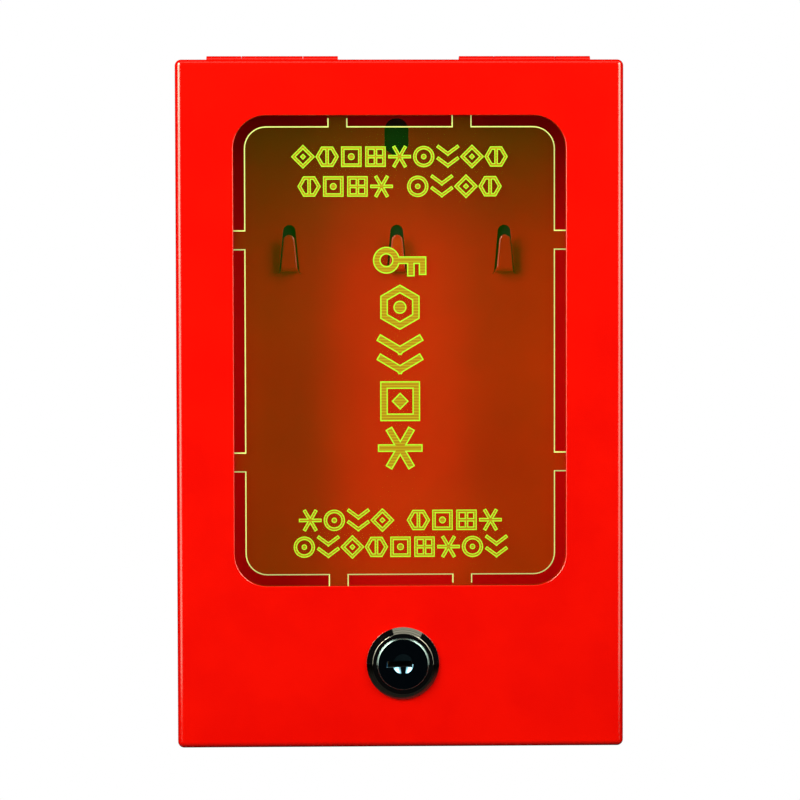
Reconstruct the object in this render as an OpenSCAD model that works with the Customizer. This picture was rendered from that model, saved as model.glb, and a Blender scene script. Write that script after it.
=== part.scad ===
// Wall-hung emergency key box of folded steel sheet, with a top-hinged door,
// a break-out acrylic panel, three key hooks and a cam lock.
// The wall plane is y = 0, the door faces -Y, +Z is up, and the origin is the
// middle of the back face.

/* [Box] */
// Width of the box and of its door
box_w = 130; // [110:1:180]
// Height of the box and of its door
box_h = 200; // [170:1:260]
// Depth from the wall to the face of the door
box_d = 40; // [37:1:70]
// Thickness of the steel sheet
sheet_t = 1; // [0.8:0.1:1.2]
// Outside radius of the folds and corners
bend_r = 1.8; // [1.5:0.1:2.4]
// Width of the lip folded in round the front of the body
lip_w = 8; // [6:0.5:9]

/* [Door] */
// Depth of the door tray
door_d = 13; // [13:0.5:16]
// Gap between the door tray and the body
door_gap = 0.8; // [0.5:0.1:1.2]
// Width of the door's frame beside the window
frame_side = 16.8; // [16:0.1:30]
// Height of the door's frame above the window
frame_top = 16; // [15:0.5:24]
// Height of the door's frame below the window, which holds the lock
frame_bottom = 47.4; // [46:0.2:70]
// Radius of the window's corners
window_r = 9.5; // [6:0.5:14]

/* [Break panel] */
// Thickness of the acrylic sheet
panel_t = 2; // [1.5:0.5:3]
// How far the sheet reaches behind the door frame at each side
panel_side = 7; // [6:0.5:7]
// How far the sheet reaches behind the door frame above and below
panel_end = 6; // [5:0.5:6]
// Width of the relief slots round the break-out
slot_w = 3.1; // [2:0.1:4]
// Width of the bridges that hold the break-out
bridge_w = 5.8; // [4:0.2:9]
// Distance of the upper and lower bridges from the middle
bridge_x = 18; // [14:0.5:24]
// Distance of the side bridges from the middle
bridge_z = 32.25; // [24:0.25:40]
// Play between the sheet and what holds it
panel_play = 0.15; // [0.1:0.05:0.3]

/* [Panel rails and clip] */
// Thickness of the rails and of the clip
rail_t = 1; // [0.8:0.1:1.2]
// Overlap of the rails and of the clip on the sheet
rail_grip = 3.2; // [2.5:0.1:3.6]
// Width of the rails' welded feet
rail_foot = 5; // [4:0.5:5]
// Width of the clip
clip_w = 20; // [14:1:24]
// Diameter of the welded stud that holds the clip
stud_d = 3; // [2.5:0.5:3]
// Length of the welded stud
stud_l = 6.5; // [6:0.5:8]

/* [Key hooks] */
// Distance between neighbouring hooks
hook_pitch = 32.5; // [24:0.5:40]
// Distance of the hooks' roots below the top of the box
hook_drop = 61.9; // [54:0.1:90]
// Length of a hook tongue
hook_len = 14.5; // [12:0.5:16]
// Angle by which a tongue leans out of the back
hook_lean = 36; // [28:1:42]
// Width of a tongue at its root
hook_root_w = 5.6; // [5:0.1:8]
// Width of a tongue at its tip
hook_tip_w = 3.4; // [2.5:0.1:4.5]
// Flare where a tongue's edges run into the back
hook_flare = 0.8; // [0.4:0.1:1.2]
// Width of the lancing cut round a tongue
lance_gap = 0.2; // [0.1:0.05:0.4]

/* [Wall slots] */
// Width of a mounting slot
wall_slot_w = 7.3; // [5:0.1:8]
// Height of a mounting slot
wall_slot_h = 11.2; // [9:0.1:14]
// Distance of the mounting slots from the ends of the box
wall_slot_end = 20.6; // [16:0.1:28]

/* [Hinges] */
// Distance of each hinge's middle from the side of the door
hinge_side = 28; // [25:0.5:30]
// Length of a hinge barrel
hinge_len = 38.5; // [30:0.5:42]
// Length of each end knuckle
knuckle_end = 10.2; // [8:0.1:12]
// Gap between neighbouring knuckles
knuckle_gap = 0.3; // [0.2:0.05:0.5]
// Thickness of the hinge leaves
leaf_t = 0.8; // [0.6:0.1:1]
// Reach of each leaf from the pin
leaf_reach = 10; // [7:0.5:10]
// Diameter of the hinge pin
pin_d = 2; // [1.5:0.1:2.4]
// Play between a pin and its knuckles
pin_play = 0.04; // [0.02:0.01:0.08]

/* [Lock] */
// Distance of the lock to the right of the middle
lock_x = 0.6; // [-4:0.1:4]
// Height of the lock above the bottom of the door
lock_up = 24.6; // [22:0.1:25]
// Diameter of the bezel where it meets the door
bezel_d = 21.2; // [21:0.1:24]
// Height of the bezel above the door
bezel_h = 2.2; // [1.6:0.1:3]
// Diameter of the bezel at its top
bezel_top_d = 17.9; // [17.2:0.1:18.4]
// Diameter of the lock's threaded body
lock_d = 18.6; // [18.2:0.1:19]
// Width of the lock body across its flats
lock_flats = 16.2; // [15.8:0.1:16.6]
// Diameter of the plug's head with its cap
head_d = 14.9; // [14.4:0.1:15.2]
// Diameter of the plug
plug_d = 12; // [11.6:0.1:12.2]
// Height of the plug's face above the door
face_h = 2.9; // [2.5:0.1:3.4]
// Width of the keyway
keyway_w = 7.2; // [6.5:0.1:7.4]
// Thickness of the keyway
keyway_t = 1.7; // [1.4:0.1:2]
// Distance of the keyway's middle from the plug's middle
keyway_shift = 1; // [0:0.1:1.2]
// Diameter of the dished middle of the plug's face
dish_d = 5.8; // [5:0.1:6.4]
// Depth of the dish
dish_depth = 0.9; // [0.5:0.1:1.1]
// Number of wafer tumblers
wafers = 5; // [3:1:5]
// Thickness of a wafer
wafer_t = 1; // [0.8:0.1:1]
// Distance between neighbouring wafers
wafer_pitch = 1.7; // [1.6:0.05:1.7]
// Running play inside the lock
lock_play = 0.05; // [0.03:0.01:0.08]

/* [Cam] */
// How far the locked cam reaches behind the lip
cam_catch = 2.9; // [1.5:0.1:4.5]
// Width of the cam's arm
cam_w = 9; // [7:0.5:11]
// Thickness of the cam
cam_t = 1.5; // [1.2:0.1:2]
// Clearance between the cam and the lip it locks behind
cam_gap = 0.5; // [0.3:0.1:1]
// Turn of the lock from open to locked
cam_turn = 90; // [80:5:100]

/* [Hidden] */
$fn = 48;
eps = 0.01;
over = 1;                                   // how far a cutter runs past a face
round_fn = 24;                              // segments of the folded edges

body_d = box_d - door_d - door_gap;         // depth of the body
inner_r = max(bend_r - sheet_t, 0.4);       // inside radius of a fold
face_in = box_d - sheet_t;                  // inner face of the door, from the wall

window_w = box_w - 2 * frame_side;
window_h = box_h - frame_top - frame_bottom;
window_z = (frame_bottom - frame_top) / 2;
panel_w = window_w + 2 * panel_side;
panel_h = window_h + 2 * panel_end;
panel_front = face_in - panel_play;         // the faces of the acrylic, from the wall
panel_back = panel_front - panel_t;
rail_back = panel_back - panel_play - rail_t;
panel_top = window_z + panel_h / 2;
panel_bottom = window_z - panel_h / 2;
panel_reach = panel_w / 2 + panel_play;     // inner face of a rail's web

hook_z = box_h / 2 - hook_drop;
wall_slot_z = box_h / 2 - wall_slot_end;

barrel_r = pin_d / 2 + leaf_t;
hinge_x = box_w / 2 - hinge_side;
hinge_y = body_d + door_gap / 2;            // hinge axis, from the wall
hinge_z = box_h / 2 - sheet_t - leaf_t + barrel_r;
barrel_room = 0.35;                         // play round a barrel in its notch
leaf_root = barrel_r + barrel_room;         // where a leaf's plain edge starts
leaf_corner = 1.5;
knuckle_edge = 0.2;                         // chamfer at the ends of a knuckle

clip_z = (panel_top + box_h / 2 - sheet_t) / 2 + rail_t / 2;
clip_top = box_h / 2 - sheet_t - inner_r;
stud_play = 0.1;
clip_washer_t = 0.5;
clip_nut_t = 2.4;
nut_flats = 5.5;

lock_z = -box_h / 2 + lock_up;
stop_t = 1;                                 // thickness of the stop washer
lock_len = door_d + door_gap + sheet_t + cam_gap - stop_t;
bore_d = plug_d + 2 * lock_play;
head_seat = 3;                              // depth of the head's seat below the door face
cap_t = 0.4;
cap_skirt = 1.6;
cap_edge = 0.5;                             // rounding of the cap's rim
hole_play = 0.2;
tail_w = 6.4;                               // square tail that drives the cam
tail_len = stop_t + cam_t - 0.1;
washer_t = 0.8;
lock_nut_t = 3;
lock_nut_flats = 22;
cam_len = lock_up - lip_w + cam_catch;      // from the lock's axis to the cam's tip
cam_hub_d = 15;
cam_screw_d = 4;
cam_screw_l = 5;                            // shank, from under the head
screw_room = 0.3;                           // blind hole beyond the screw's tip
screw_play = 0.05;
cam_washer_d = 9;
cam_washer_t = 0.8;
screw_seat = -lock_len - stop_t - cam_t - cam_washer_t;  // under the screw's head
groove_d = 14.4;                            // wafer grooves in the lock body
stop_lug = 28;                              // angle of the stop washer's lug
stop_mid = 90;                              // middle of the stop's travel
stop_depth = 1.5;
stop_in_r = bore_d / 2 + 0.3;
stop_out_r = stop_in_r + 1.4;
stop_rim = 0.4;                             // how far the stop washer runs past its lug
stop_under = 0.2;                           // play over the lug
wafer_h = 6;                                // height of a wafer across the keyway
wafer_window = [8, 2.8];
wafer_first = head_seat + 1;                // first wafer, from the door face
wafer_room = 0.1;
ear = [1.2, 1.3];                           // spring ear of a wafer
ear_x = 2.5;
spring_l = 3.1;
spring_r = 0.42;
spring_wire = 0.2;
spring_turns = 4;

// Shared shapes

// Puts a flat drawing in the XZ plane, upright, with its front at -y = front
module upright(front, depth) {
    translate([0, depth - front, 0]) rotate([90, 0, 0]) linear_extrude(depth) children();
}

// Rectangle with true round corners
module rounded_rect(w, h, r) {
    square([w - 2 * r, h], center = true);
    square([w, h - 2 * r], center = true);
    for (x = [-1, 1], y = [-1, 1])
        translate([x * (w / 2 - r), y * (h / 2 - r)]) circle(r);
}

// Slot with round ends, upright
module obround(w, h) {
    square([w, h - w], center = true);
    for (y = [-1, 1]) translate([0, y * (h - w) / 2]) circle(w / 2);
}

// Round shaft with two flats, above and below
module double_d(d, flats) {
    intersection() {
        circle(d / 2);
        square([d + over, flats], center = true);
    }
}

// Ball whose poles lie exactly at its radius
module ball(r) {
    rotate_extrude($fn = round_fn)
        intersection() {
            circle(r, $fn = round_fn);
            translate([0, -r]) square([r, 2 * r]);
        }
}

// Block with round corners and edges, its faces at y = from and y = to.
// With open = true the edges at y = to stay sharp, as on a tray's open side.
module folded_block(w, h, from, to, r, open) {
    step = to > from ? 1 : -1;
    hull()
        for (x = [-1, 1], z = [-1, 1])
            translate([x * (w / 2 - r), 0, z * (h / 2 - r)]) {
                translate([0, from + step * r, 0]) rotate([90, 0, 0]) ball(r);
                if (open)
                    translate([0, max(to, to - step * eps), 0])
                        rotate([90, 0, 0]) cylinder(h = eps, r = r, $fn = round_fn);
                else
                    translate([0, to - step * r, 0]) rotate([90, 0, 0]) ball(r);
            }
}

// Moves to a hinge, which is side = -1 or 1
module at_hinge(side) {
    translate([side * hinge_x, -hinge_y, hinge_z]) children();
}

// Moves to the lock, with local +z out of the door and local +y up
module at_lock() {
    translate([lock_x, -box_d, lock_z]) rotate([90, 0, 0]) children();
}

// Body

// Outline of a hook tongue, its root along y = 0, flared there on both sides
module tongue_outline(grow) {
    tip = hook_tip_w / 2;
    root = hook_root_w / 2;
    difference() {
        polygon([
            [-root - hook_flare - grow, 0], [root + hook_flare + grow, 0],
            [root + grow, hook_flare], [tip + grow, hook_len - tip],
            [-tip - grow, hook_len - tip], [-root - grow, hook_flare]
        ]);
        for (side = [-1, 1])
            translate([side * (root + hook_flare + grow), hook_flare]) circle(hook_flare);
    }
    translate([0, hook_len - tip]) circle(tip + grow);
}

// A tongue bent out of the back, turned about the middle of the sheet
module key_hook() {
    translate([0, -sheet_t / 2, 0]) {
        rotate([90 + hook_lean, 0, 0])
            translate([0, 0, -sheet_t / 2]) linear_extrude(sheet_t) tongue_outline(0);
        rotate([0, 90, 0])
            cylinder(h = hook_root_w + 2 * hook_flare, r = sheet_t / 2, center = true);
    }
}

// The window that lancing a tongue leaves in the back
module hook_hole() {
    upright(sheet_t + over, sheet_t + 2 * over) tongue_outline(lance_gap);
}

// Notch for a hinge barrel in the fold at the top of the body
module body_notch(side) {
    room = 2 * barrel_room;
    at_hinge(side)
        translate([-hinge_len / 2 - barrel_room, -over, -leaf_root - over])
            cube([hinge_len + room, over + leaf_root, leaf_root + 2 * over]);
}

module body_shell() {
    opening_w = box_w - 2 * lip_w;
    opening_h = box_h - 2 * lip_w;
    color("red") {
        difference() {
            folded_block(box_w, box_h, 0, -body_d, bend_r, false);
            folded_block(box_w - 2 * sheet_t, box_h - 2 * sheet_t,
                         -sheet_t, sheet_t - body_d, inner_r, false);
            upright(body_d + over, sheet_t + 2 * over)
                rounded_rect(opening_w, opening_h, bend_r);
            for (side = [-1, 1]) body_notch(side);
            for (z = [-1, 1])
                upright(sheet_t + over, sheet_t + 2 * over)
                    translate([0, z * wall_slot_z]) obround(wall_slot_w, wall_slot_h);
            for (n = [-1:1]) translate([n * hook_pitch, 0, hook_z]) hook_hole();
        }
        for (n = [-1:1]) translate([n * hook_pitch, 0, hook_z]) key_hook();
    }
}

// Hinges

// Part of a barrel between x = from and x = to, with its bore and broken edges
module knuckle(from, to) {
    long = to - from;
    bore_r = pin_d / 2 + pin_play;
    translate([from, 0, 0]) rotate([0, 90, 0]) rotate_extrude()
        polygon([
            [bore_r, 0], [barrel_r - knuckle_edge, 0], [barrel_r, knuckle_edge],
            [barrel_r, long - knuckle_edge], [barrel_r - knuckle_edge, long], [bore_r, long]
        ]);
}

// The bare pin hole, to clear the plate that joins a knuckle
module pin_hole() {
    rotate([0, 90, 0])
        cylinder(h = hinge_len + 2 * over, r = pin_d / 2 + pin_play, center = true);
}

// Flat plate of a leaf, reaching along +y with round far corners
module leaf_plate() {
    long = leaf_reach - leaf_root;
    translate([0, leaf_root, -barrel_r]) linear_extrude(leaf_t) {
        translate([-hinge_len / 2, 0]) square([hinge_len, long - leaf_corner]);
        translate([-hinge_len / 2 + leaf_corner, 0])
            square([hinge_len - 2 * leaf_corner, long]);
        for (x = [-1, 1])
            translate([x * (hinge_len / 2 - leaf_corner), long - leaf_corner])
                circle(leaf_corner);
    }
}

// Strip that joins a plate to the knuckle between x = from and x = to
module leaf_strip(from, to) {
    difference() {
        translate([from, 0, -barrel_r]) cube([to - from, leaf_root + eps, leaf_t]);
        pin_hole();
    }
}

module hinge_body_leaf(side) {
    half = hinge_len / 2;
    color("red") at_hinge(side) {
        leaf_plate();
        for (from = [-half, half - knuckle_end]) {
            knuckle(from, from + knuckle_end);
            leaf_strip(from, from + knuckle_end);
        }
    }
}

module hinge_door_leaf(side) {
    half = hinge_len / 2 - knuckle_end - knuckle_gap;
    color("red") at_hinge(side) {
        rotate([0, 0, 180]) {
            leaf_plate();
            leaf_strip(-half, half);
        }
        knuckle(-half, half);
    }
}

module hinge_pin(side) {
    color("silver") at_hinge(side) rotate([0, 90, 0])
        cylinder(h = hinge_len, r = pin_d / 2, center = true);
}

// Door

module door_notch(side) {
    room = 2 * barrel_room;
    at_hinge(side)
        translate([-hinge_len / 2 - barrel_room, -leaf_root, -leaf_root - over])
            cube([hinge_len + room, over + leaf_root, leaf_root + 2 * over]);
}

module door_shell() {
    color("red") difference() {
        folded_block(box_w, box_h, -box_d, door_d - box_d, bend_r, true);
        folded_block(box_w - 2 * sheet_t, box_h - 2 * sheet_t,
                     -face_in, door_d - box_d + over, inner_r, true);
        upright(box_d + over, sheet_t + 2 * over)
            translate([0, window_z]) rounded_rect(window_w, window_h, window_r);
        at_lock() translate([0, 0, -sheet_t - over]) linear_extrude(sheet_t + 2 * over)
            double_d(lock_d + 2 * hole_play, lock_flats + 2 * hole_play);
        for (side = [-1, 1]) door_notch(side);
    }
}

// Bars that cross the ring of relief slots and leave the bridges
module bridge_bars() {
    for (side = [-1, 1]) {
        translate([side * bridge_x, 0]) square([bridge_w, panel_h], center = true);
        translate([0, side * bridge_z]) square([panel_w, bridge_w], center = true);
    }
}

module break_panel() {
    break_r = max(window_r - slot_w, 1);
    color([0.75, 1, 0.2, 0.5])
        upright(panel_front, panel_t)
            translate([0, window_z]) difference() {
                rounded_rect(panel_w, panel_h, 2);
                difference() {
                    rounded_rect(window_w, window_h, window_r);
                    rounded_rect(window_w - 2 * slot_w, window_h - 2 * slot_w, break_r);
                    bridge_bars();
                }
            }
}

// Z-shaped rail with its lower end folded in as a stop. Modelled on the right.
module panel_rail() {
    web_x = panel_reach;
    grip_x = panel_w / 2 - rail_grip;
    stop_z = panel_bottom - panel_play - rail_t;
    rail_top = panel_top - panel_end;
    color("red") {
        translate([web_x, -face_in, stop_z])
            cube([rail_foot + rail_t, rail_t, rail_top - stop_z]);
        translate([web_x, -face_in, stop_z])
            cube([rail_t, face_in - rail_back, rail_top - stop_z]);
        translate([grip_x, -rail_back - rail_t, stop_z])
            cube([web_x + rail_t - grip_x, rail_t, rail_top - stop_z]);
        translate([grip_x, -face_in, stop_z])
            cube([web_x + rail_t - grip_x, face_in - rail_back, rail_t]);
    }
}

// Stepped clip that stops the acrylic from sliding out at the top
module panel_clip() {
    step_z = panel_top + panel_play;
    color("red") difference() {
        union() {
            translate([-clip_w / 2, -face_in, step_z]) cube([clip_w, rail_t, clip_top - step_z]);
            translate([-clip_w / 2, -face_in, step_z]) cube([clip_w, face_in - rail_back, rail_t]);
            translate([-clip_w / 2, -rail_back - rail_t, panel_top - rail_grip])
                cube([clip_w, rail_t, step_z + rail_t - panel_top + rail_grip]);
        }
        translate([0, -face_in - over, clip_z]) rotate([-90, 0, 0])
            cylinder(h = rail_t + 2 * over, r = stud_d / 2 + stud_play);
    }
}

module clip_stud() {
    color("silver") translate([0, -face_in, clip_z]) rotate([-90, 0, 0])
        cylinder(h = stud_l, r = stud_d / 2);
}

module clip_washer() {
    color("silver") translate([0, rail_t - face_in, clip_z]) rotate([-90, 0, 0])
        difference() {
            cylinder(h = clip_washer_t, r = nut_flats / 2 + 0.25);
            translate([0, 0, -over])
                cylinder(h = clip_washer_t + 2 * over, r = stud_d / 2 + stud_play);
        }
}

module clip_nut() {
    color("silver")
        translate([0, rail_t + clip_washer_t - face_in, clip_z]) rotate([-90, 0, 0])
            difference() {
                cylinder(h = clip_nut_t, r = nut_flats / 2 / cos(30), $fn = 6);
                translate([0, 0, -over])
                    cylinder(h = clip_nut_t + 2 * over, r = stud_d / 2 + screw_play);
            }
}

// Lock

// Cross-section of the bezel's cone, from the bore outwards
module bezel_profile() {
    base_r = bezel_d / 2;
    top_r = bezel_top_d / 2;
    seat_r = head_d / 2 + lock_play;
    rim = 0.35;
    polygon([
        [seat_r, 0], [base_r, 0], [base_r, rim], [base_r - rim, 2 * rim],
        [top_r, bezel_h - rim / 2], [top_r - rim / 2, bezel_h], [top_r - rim, bezel_h],
        [seat_r + rim / 2, bezel_h - rim], [seat_r, bezel_h - 2 * rim]
    ]);
}

// Sector ring between two radii and two angles
module sector(r_in, r_out, from, to, height) {
    rotate([0, 0, from]) rotate_extrude(angle = to - from)
        translate([r_in, 0]) square([r_out - r_in, height]);
}

module lock_housing() {
    half_turn = cam_turn / 2 + stop_lug / 2 + 1;
    color([0.1, 0.1, 0.11]) at_lock() {
        rotate_extrude() bezel_profile();
        difference() {
            translate([0, 0, -lock_len]) linear_extrude(lock_len + eps)
                double_d(lock_d, lock_flats);
            translate([0, 0, -lock_len - over]) cylinder(h = lock_len + 2 * over, r = bore_d / 2);
            translate([0, 0, -head_seat])
                cylinder(h = head_seat + over, r = head_d / 2 + lock_play);
            translate([-groove_d / 2, -wafer_h / 2 - 0.3, -lock_len + 2])
                cube([groove_d, wafer_h + 0.6, lock_len - head_seat - 2.5]);
            translate([0, 0, -lock_len - over])
                sector(stop_in_r - 0.2, stop_out_r + 0.2, stop_mid - half_turn,
                       stop_mid + half_turn, stop_depth + over);
        }
    }
}

module lock_washer() {
    color("silver") at_lock() translate([0, 0, -sheet_t - washer_t])
        difference() {
            cylinder(h = washer_t, r = lock_nut_flats / 2);
            translate([0, 0, -over])
                cylinder(h = washer_t + 2 * over, r = lock_d / 2 + hole_play);
        }
}

module lock_nut() {
    nut_z = -sheet_t - washer_t - lock_nut_t;
    color("silver") at_lock() translate([0, 0, nut_z])
        difference() {
            cylinder(h = lock_nut_t, r = lock_nut_flats / 2 / cos(30), $fn = 6);
            translate([0, 0, -over])
                cylinder(h = lock_nut_t + 2 * over, r = lock_d / 2 + screw_play);
        }
}

// Sphere centre and radius of the dish in the plug's face
dish_r = (dish_d * dish_d / 4 + dish_depth * dish_depth) / (2 * dish_depth);
dish_z = face_h + dish_r - dish_depth;

// Cross-section of the stamped cap: skirt, rim, face and dish
module cap_profile() {
    cap_r = head_d / 2;
    difference() {
        union() {
            translate([0, face_h - cap_skirt]) square([cap_r, cap_skirt - cap_edge]);
            translate([0, face_h - cap_skirt]) square([cap_r - cap_edge, cap_skirt]);
            translate([cap_r - cap_edge, face_h - cap_edge]) circle(cap_edge);
            intersection() {
                translate([0, dish_z]) circle(dish_r + cap_t);
                square([dish_d, face_h]);
            }
        }
        difference() {
            translate([-over, face_h - cap_skirt - over])
                square([cap_r - cap_t + over, cap_skirt + over - cap_t]);
            translate([0, dish_z]) circle(dish_r + cap_t);
        }
        translate([0, dish_z]) circle(dish_r);
    }
}

// The slot for the key, from the face to below the last wafer
module keyway(depth) {
    translate([-keyway_w / 2 - keyway_shift, -keyway_t / 2, -depth])
        cube([keyway_w, keyway_t, depth + face_h + over]);
}

module plug_cap() {
    color([0.08, 0.1, 0.16]) at_lock() difference() {
        rotate_extrude() cap_profile();
        keyway(0);
    }
}

// Moves to each wafer in turn
module each_wafer() {
    for (n = [0:wafers - 1])
        translate([0, 0, -wafer_first - n * wafer_pitch - wafer_t]) children();
}

// Room in the plug for one wafer, its ear and its spring
module wafer_slot() {
    thick = wafer_t + 2 * wafer_room;
    ear_y = wafer_h / 2;
    translate([0, 0, -wafer_room]) {
        translate([-plug_d / 2 - over, -wafer_h / 2 - wafer_room, 0])
            cube([plug_d + 2 * over, wafer_h + 2 * wafer_room, thick]);
        translate([ear_x - spring_l - wafer_room, ear_y, 0])
            cube([spring_l + ear[0] + 2 * wafer_room, ear[1] + wafer_room, thick]);
    }
}

module lock_plug() {
    cap_r = head_d / 2;
    core_r = cap_r - cap_t - screw_play;
    color([0.62, 0.62, 0.6]) at_lock() difference() {
        union() {
            translate([0, 0, screw_play - head_seat])
                cylinder(h = head_seat + face_h - cap_t - 2 * screw_play, r = core_r);
            translate([0, 0, -lock_len]) cylinder(h = lock_len, r = plug_d / 2);
            translate([-tail_w / 2, -tail_w / 2, -lock_len - tail_len])
                cube([tail_w, tail_w, tail_len + over]);
        }
        translate([0, 0, dish_z]) sphere(dish_r + cap_t + screw_play);
        keyway(lock_len - 2);
        each_wafer() wafer_slot();
        translate([0, 0, screw_seat])
            cylinder(h = cam_screw_l + screw_room, r = cam_screw_d / 2 + screw_play);
    }
}

module wafer_tumblers() {
    color("goldenrod") at_lock() each_wafer() linear_extrude(wafer_t) {
        difference() {
            intersection() {
                circle(plug_d / 2 - lock_play);
                square([plug_d, wafer_h], center = true);
            }
            square(wafer_window, center = true);
        }
        translate([ear_x, wafer_h / 2 - eps]) square(ear);
    }
}

module wafer_springs() {
    color("silver") at_lock() each_wafer()
        translate([ear_x - spring_l + screw_play, wafer_h / 2 + spring_r + spring_wire,
                   wafer_t / 2])
            rotate([0, 90, 0])
                linear_extrude(height = spring_l - 2 * screw_play, twist = -360 * spring_turns,
                               slices = 10 * spring_turns, $fn = 6)
                    translate([spring_r, 0]) circle(spring_wire / 2);
}

module stop_washer() {
    lug_at = stop_mid + cam_turn / 2;
    color("silver") at_lock() translate([0, 0, -lock_len - stop_t]) {
        difference() {
            cylinder(h = stop_t, r = stop_out_r + stop_rim);
            translate([-tail_w / 2 - screw_play, -tail_w / 2 - screw_play, -over])
                cube([tail_w + 2 * screw_play, tail_w + 2 * screw_play, stop_t + 2 * over]);
        }
        sector(stop_in_r, stop_out_r, lug_at - stop_lug / 2, lug_at + stop_lug / 2,
               stop_t + stop_depth - stop_under);
    }
}

module lock_cam() {
    arm_end = cam_len - cam_w / 2;
    color("silver") at_lock() translate([0, 0, -lock_len - stop_t - cam_t])
        linear_extrude(cam_t) difference() {
            union() {
                circle(cam_hub_d / 2);
                translate([0, -cam_w / 2]) square([arm_end, cam_w]);
                translate([arm_end, 0]) circle(cam_w / 2);
            }
            square(tail_w + 2 * screw_play, center = true);
        }
}

module cam_washer() {
    color("silver") at_lock() translate([0, 0, screw_seat])
        difference() {
            cylinder(h = cam_washer_t, r = cam_washer_d / 2);
            translate([0, 0, -over])
                cylinder(h = cam_washer_t + 2 * over, r = cam_screw_d / 2 + screw_play);
        }
}

// Pan-head screw with a cross recess
module cam_screw() {
    head_r = cam_screw_d * 0.95;
    head_h = cam_screw_d * 0.6;
    recess = [head_r * 1.1, 0.8, head_h * 0.6];
    color("silver") at_lock()
        translate([0, 0, screw_seat]) difference() {
            union() {
                cylinder(h = cam_screw_l, r = cam_screw_d / 2);
                intersection() {
                    translate([0, 0, -head_h]) cylinder(h = head_h, r = head_r);
                    translate([0, 0, head_r - head_h + 0.2]) sphere(head_r * 1.35);
                }
            }
            for (turn = [0, 90])
                rotate([0, 0, turn]) translate([-recess[0] / 2, -recess[1] / 2, -head_h - eps])
                    cube(recess);
        }
}

body_shell();
hinge_body_leaf(-1);  // hinge_body_leaf_left
hinge_body_leaf(1);  // hinge_body_leaf_right
hinge_pin(-1);  // hinge_pin_left
hinge_pin(1);  // hinge_pin_right
door_shell();
hinge_door_leaf(-1);  // hinge_door_leaf_left
hinge_door_leaf(1);  // hinge_door_leaf_right
break_panel();
mirror([1, 0, 0]) panel_rail();  // panel_rail_left
panel_rail();  // panel_rail_right
panel_clip();
clip_stud();
clip_washer();
clip_nut();
lock_housing();
lock_washer();
lock_nut();
lock_plug();
plug_cap();
wafer_tumblers();
wafer_springs();
stop_washer();
lock_cam();
cam_washer();
cam_screw();
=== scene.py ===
import math

import bmesh
import bpy
from mathutils import Matrix, Vector


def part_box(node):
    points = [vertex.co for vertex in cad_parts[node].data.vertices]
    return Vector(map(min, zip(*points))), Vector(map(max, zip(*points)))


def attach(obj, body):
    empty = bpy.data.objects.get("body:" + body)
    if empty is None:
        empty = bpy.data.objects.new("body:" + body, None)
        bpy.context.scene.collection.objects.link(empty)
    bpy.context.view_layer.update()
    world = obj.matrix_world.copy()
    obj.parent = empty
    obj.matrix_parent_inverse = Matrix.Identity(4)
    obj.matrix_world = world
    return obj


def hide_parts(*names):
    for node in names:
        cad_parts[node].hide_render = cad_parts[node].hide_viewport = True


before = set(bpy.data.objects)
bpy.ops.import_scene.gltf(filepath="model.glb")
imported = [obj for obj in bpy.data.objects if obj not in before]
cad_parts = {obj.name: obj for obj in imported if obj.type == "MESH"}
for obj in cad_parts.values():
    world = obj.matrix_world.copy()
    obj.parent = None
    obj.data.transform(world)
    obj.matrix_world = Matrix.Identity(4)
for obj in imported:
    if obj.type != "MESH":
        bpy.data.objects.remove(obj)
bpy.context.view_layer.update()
print("key box frame loaded:", len(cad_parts), "CAD pieces")

perMetre = 1000  # pieces are made in millimetres and shrunk to metres when they are finished
tiny = 1e-4


# Small tools for meshes

def cadSpan(node):
    low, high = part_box(node)
    return low * perMetre, high * perMetre


def faceOutward(bm):
    bmesh.ops.recalc_face_normals(bm, faces=bm.faces)


def shift(bm, way):
    bmesh.ops.translate(bm, vec=way, verts=bm.verts)


def block(low, high):
    bm = bmesh.new()
    bmesh.ops.create_cube(bm, size=1)
    bmesh.ops.scale(bm, vec=Vector(high) - Vector(low), verts=bm.verts)
    shift(bm, (Vector(low) + Vector(high)) / 2)
    return bm


def roundEdges(bm, geom, radius, steps, affect="EDGES"):
    bmesh.ops.bevel(bm, geom=geom, offset=radius, offset_type="OFFSET", affect=affect,
                    segments=steps, profile=0.5, material=-1)


def slab(low, high, radius, steps=8):  # block with its four edges along y rounded
    bm = block(low, high)
    edges = [e for e in bm.edges if abs((e.verts[0].co - e.verts[1].co).y) > tiny]
    roundEdges(bm, edges, radius, steps)
    return bm


def lathe(profile, steps=96, closed=True):
    bm = bmesh.new()
    verts = [bm.verts.new((r, 0, z)) for r, z in profile]
    edges = [bm.edges.new(pair) for pair in zip(verts, verts[1:])]
    if closed:
        edges.append(bm.edges.new((verts[-1], verts[0])))
    bmesh.ops.spin(bm, geom=verts + edges, cent=(0, 0, 0), axis=(0, 0, 1),
                   angle=math.tau, steps=steps, use_merge=True)
    bmesh.ops.remove_doubles(bm, verts=bm.verts, dist=tiny)
    faceOutward(bm)
    return bm


def arc(centre, radius, start, end, steps):
    turns = [math.radians(start + (end - start) * n / steps) for n in range(steps + 1)]
    return [(centre[0] + radius * math.cos(t), centre[1] + radius * math.sin(t)) for t in turns]


def addTo(bm, other):
    mesh = bpy.data.meshes.new("part")
    other.to_mesh(mesh)
    other.free()
    bm.from_mesh(mesh)
    bpy.data.meshes.remove(mesh)
    return bm


def together(shapes):
    bm = bmesh.new()
    for shape in shapes:
        addTo(bm, shape)
    return bm


def takeShape(piece):
    bm = bmesh.new()
    bm.from_mesh(piece.data)
    bpy.data.objects.remove(piece)
    return bm


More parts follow.
